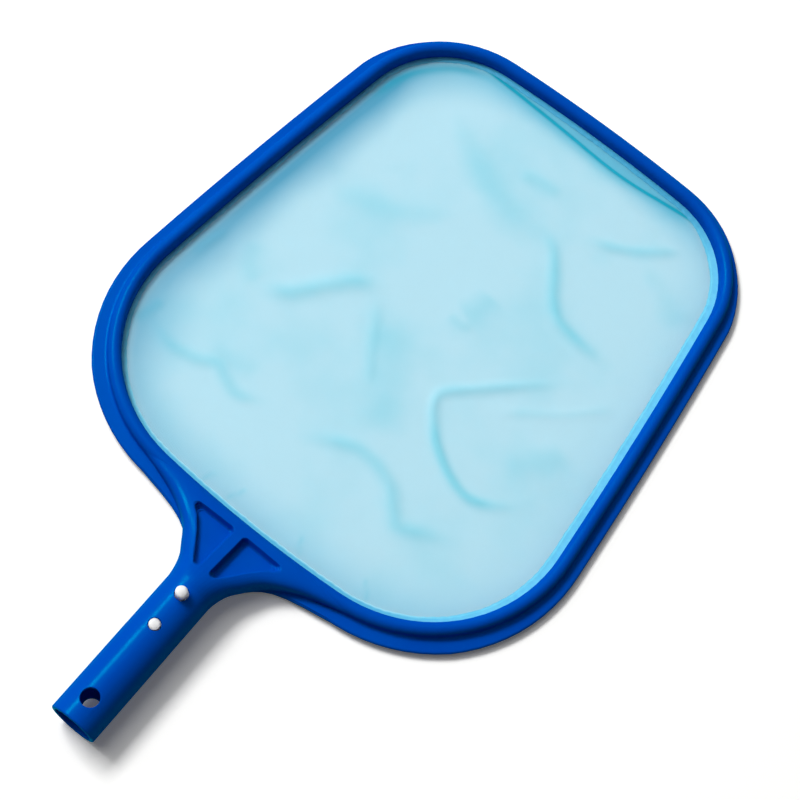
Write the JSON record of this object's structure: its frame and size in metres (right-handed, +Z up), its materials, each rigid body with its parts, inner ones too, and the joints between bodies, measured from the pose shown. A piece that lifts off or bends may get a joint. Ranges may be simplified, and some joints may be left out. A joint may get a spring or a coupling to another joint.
{
  "type": "leaf skimmer net",
  "caption": "Flat rounded hoop with a fine mesh and a short tube handle that locks onto a pole, for lifting leaves off water.",
  "frame": {"origin": "centre of the tube's mouth, on the tube's axis", "axes": "+Y from the tube's mouth towards the hoop, +Z up when the hoop lies flat with the domed side up, +X across"},
  "size_m": [0.3168, 0.4905, 0.0342],
  "materials": {
    "frame_plastic": "satin gloss moulded plastic",
    "net_mesh": "fine woven mesh, slack, slightly translucent",
    "hem_tape": "folded woven tape",
    "clip_plastic": "smooth white moulded plastic"
  },
  "bodies": {
    "root": {"frame": "frame_plastic", "retaining_hoop": "frame_plastic", "net_hem": "hem_tape", "net": "net_mesh", "clip_leg": "clip_plastic"},
    "latch": {"clip_arm": "clip_plastic"}
  },
  "joints": [
    {"name": "latch_press", "type": "hinge", "parent": "root", "child": "latch", "pos_m": [0, 0.036, 0.0098], "axis": [-1, 0, 0], "range_deg": [0, 5.6], "stiffness_Nm_per_rad": 0.8}
  ]
}
